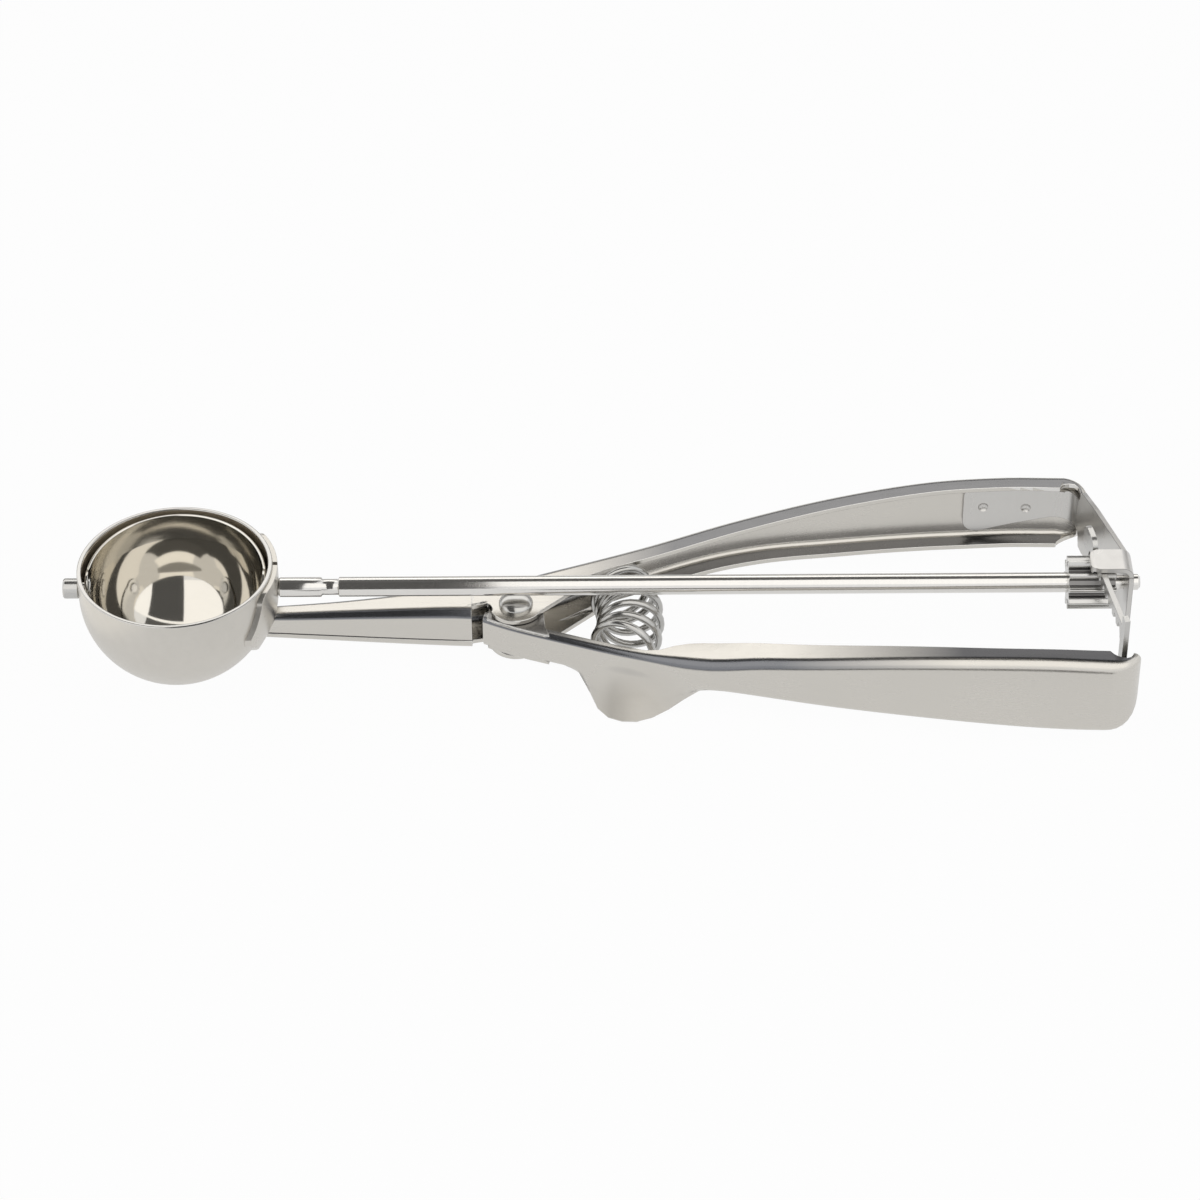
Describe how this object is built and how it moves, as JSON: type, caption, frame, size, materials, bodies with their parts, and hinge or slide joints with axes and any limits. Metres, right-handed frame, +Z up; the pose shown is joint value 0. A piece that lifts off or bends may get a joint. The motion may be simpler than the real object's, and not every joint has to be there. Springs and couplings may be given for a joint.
{
  "type": "ice cream scoop",
  "caption": "Squeeze-handle ice cream scoop with a drawn bowl, a sprung lever and a rack and pinion that sweeps a scraper blade.",
  "frame": {"origin": "bottom centre of the whole object's box, under the middle of its length and width, at the bowl's lowest point", "axes": "+X along the drive rod from the bowl towards the handles' ends, +Y from the lever towards the fixed handle, +Z up out of the bowl"},
  "size_m": [0.1936, 0.0588, 0.026],
  "materials": {
    "bowl_steel": "satin outside, mirror polished inside",
    "frame_steel": "satin with polished rolled edges",
    "bracket_steel": "satin",
    "polished_steel": "polished",
    "spring_steel": "drawn wire",
    "blade_steel": "satin"
  },
  "bodies": {
    "frame": {"bowl": "bowl_steel", "bowl_saddle": "frame_steel", "main_frame": "frame_steel", "rear_bracket": "bracket_steel", "pivot_rivet": "polished_steel", "return_spring": "spring_steel"},
    "lever": {"lever_handle": "frame_steel", "gear_rack": "bracket_steel"},
    "scraper": {"drive_rod": "polished_steel", "pinion": "polished_steel", "scraper_blade": "blade_steel", "front_stud": "polished_steel"}
  },
  "joints": [
    {"name": "lever_hinge", "type": "hinge", "parent": "frame", "child": "lever", "pos_m": [-0.01547, -0.00291, 0.00879], "axis": [0, 0, 1], "range_deg": [0, 6.8], "stiffness_Nm_per_rad": 1, "springref_deg": -11.46, "deforming": ["return_spring"]},
    {"name": "scraper_spin", "type": "hinge", "parent": "frame", "child": "scraper", "pos_m": [0, -0.00291, 0.0175], "axis": [1, 0, 0], "range_deg": [-180, 0]}
  ],
  "couplings": [
    {"joint": "scraper_spin", "follows": "lever_hinge", "ratio": -26.325}
  ]
}
